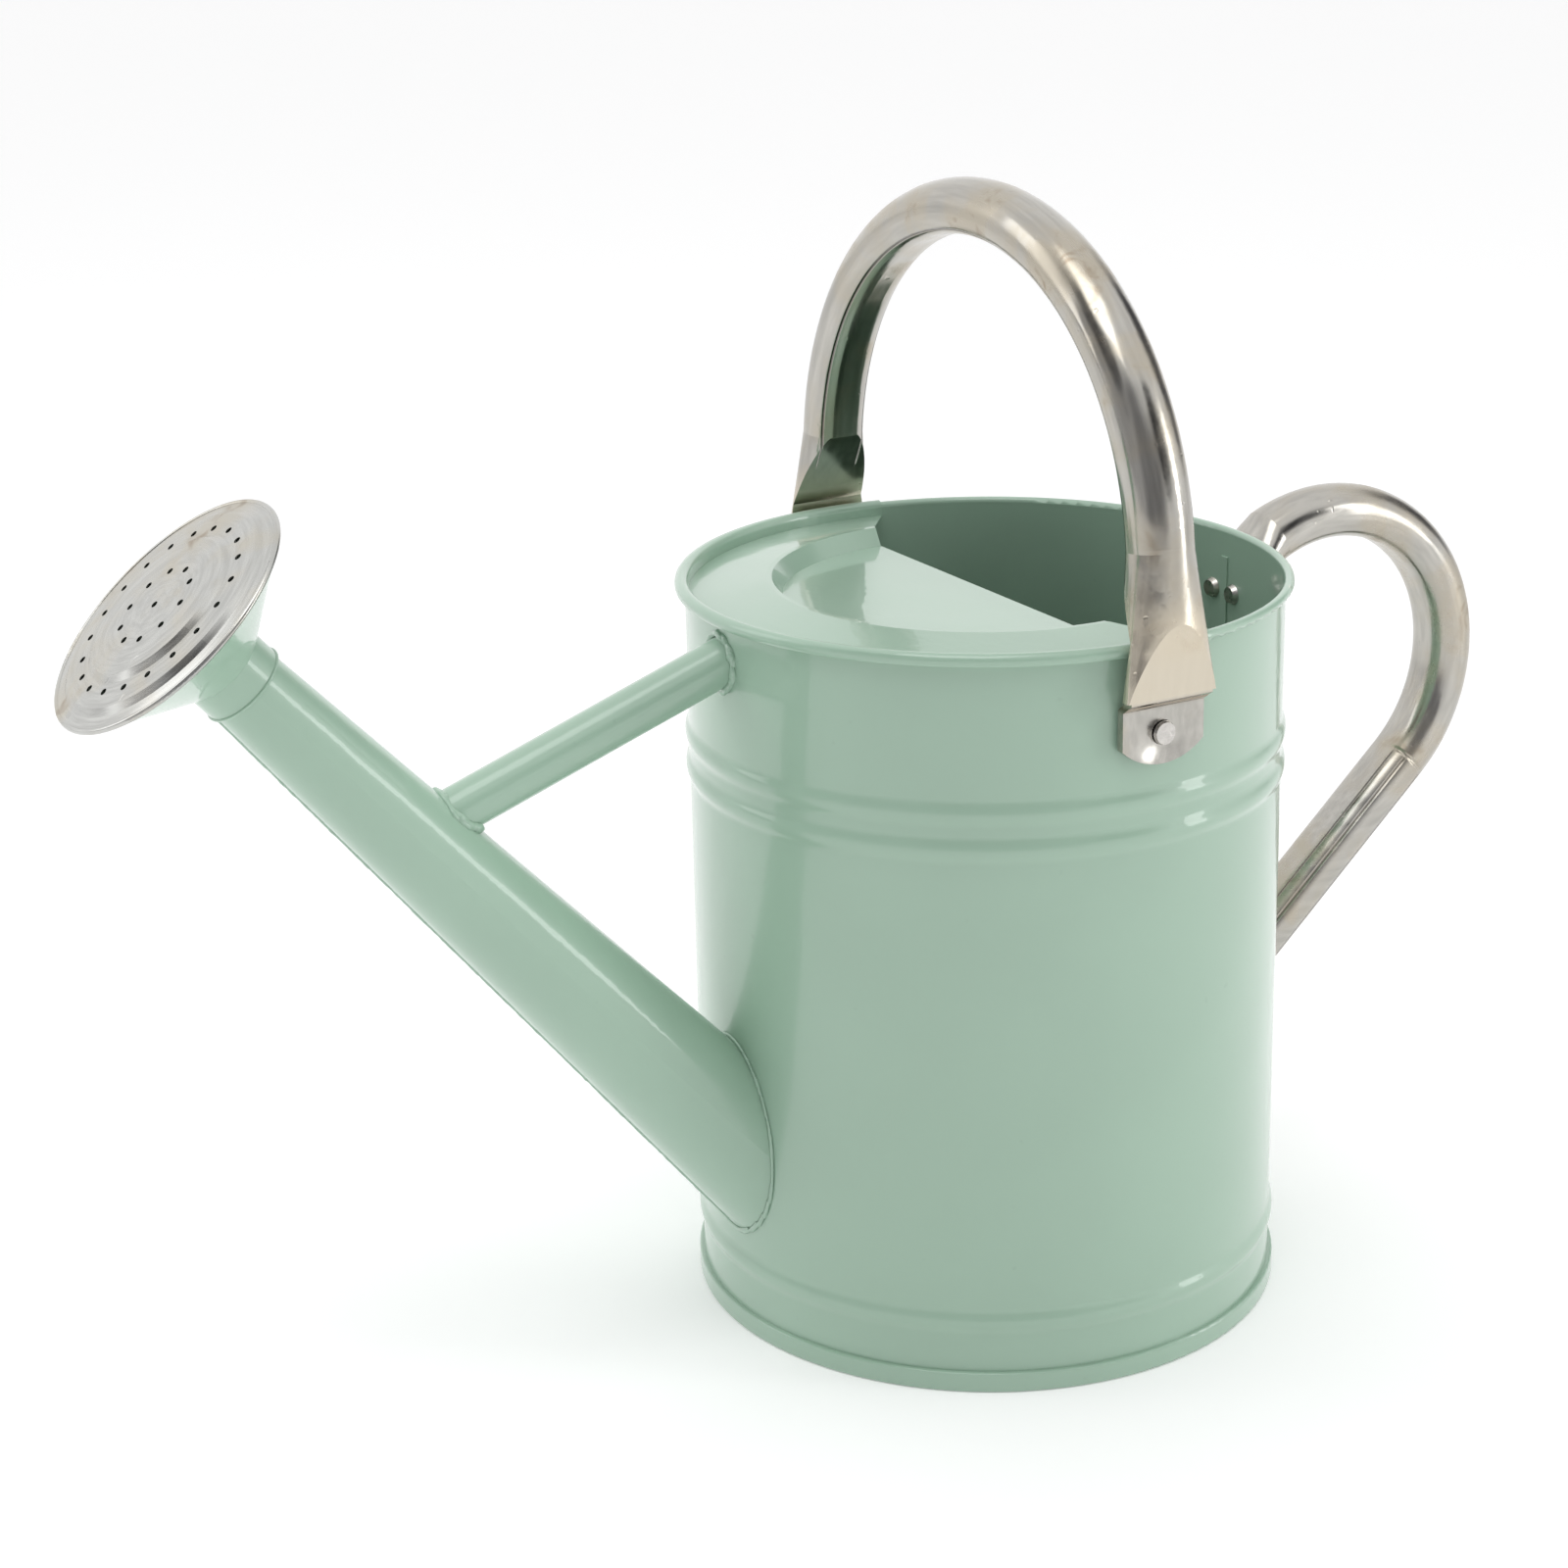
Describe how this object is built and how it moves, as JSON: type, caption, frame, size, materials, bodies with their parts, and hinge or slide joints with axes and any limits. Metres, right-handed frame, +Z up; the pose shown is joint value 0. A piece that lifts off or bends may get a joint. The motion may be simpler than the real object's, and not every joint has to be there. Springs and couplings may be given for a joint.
{
  "type": "watering can",
  "caption": "Small round metal watering can with a half-covered top, braced long spout, pull-off sprinkler rose, swinging bail handle and fixed rear handle.",
  "frame": {"origin": "centre of the base, on the floor", "axes": "+Z up; spout along -X; rear handle along +X; the bail handle swings about an axis along Y"},
  "size_m": [0.4632, 0.1976, 0.3378],
  "materials": {
    "body_shell": "gloss powder coat, fine orange peel",
    "base_disc": "gloss powder coat, fine orange peel",
    "top_cover": "gloss powder coat, fine orange peel",
    "spout_tube": "gloss powder coat, fine orange peel",
    "spout_weld": "gloss powder coat, fine orange peel",
    "strut_tube": "gloss powder coat, fine orange peel",
    "strut_weld_upper": "gloss powder coat, fine orange peel",
    "strut_weld_lower": "gloss powder coat, fine orange peel",
    "bail_handle": "drawn stainless, satin, lightly stained",
    "rear_handle": "drawn stainless, satin, lightly stained",
    "bail_rivet_near": "drawn stainless, satin, lightly stained",
    "bail_rivet_far": "drawn stainless, satin, lightly stained",
    "rear_rivet_upper_left": "drawn stainless, satin, lightly stained",
    "rear_rivet_upper_right": "drawn stainless, satin, lightly stained",
    "rear_rivet_lower_left": "drawn stainless, satin, lightly stained",
    "rear_rivet_lower_right": "drawn stainless, satin, lightly stained",
    "rose_collar": "gloss powder coat, fine orange peel",
    "rose_cone": "gloss powder coat, fine orange peel",
    "rose_face": "drawn stainless, satin, lightly stained"
  },
  "bodies": {
    "can": {"body_shell": "body_shell", "base_disc": "base_disc", "top_cover": "top_cover", "spout_tube": "spout_tube", "spout_weld": "spout_weld", "strut_tube": "strut_tube", "strut_weld_upper": "strut_weld_upper", "strut_weld_lower": "strut_weld_lower", "rear_handle": "rear_handle", "bail_rivet_near": "bail_rivet_near", "bail_rivet_far": "bail_rivet_far", "rear_rivet_upper_left": "rear_rivet_upper_left", "rear_rivet_upper_right": "rear_rivet_upper_right", "rear_rivet_lower_left": "rear_rivet_lower_left", "rear_rivet_lower_right": "rear_rivet_lower_right"},
    "bail": {"bail_handle": "bail_handle"},
    "rose": {"rose_collar": "rose_collar", "rose_cone": "rose_cone", "rose_face": "rose_face"}
  },
  "joints": [
    {"name": "bail_swing", "type": "hinge", "parent": "can", "child": "bail", "pos_m": [0, 0, 0.1973], "axis": [0, 1, 0], "range_deg": [-82.8, 70.2]},
    {"name": "rose_pull_off", "type": "slide", "parent": "can", "child": "rose", "axis": [-0.6561, 0, 0.7547], "range_m": [0, 0.03]}
  ]
}
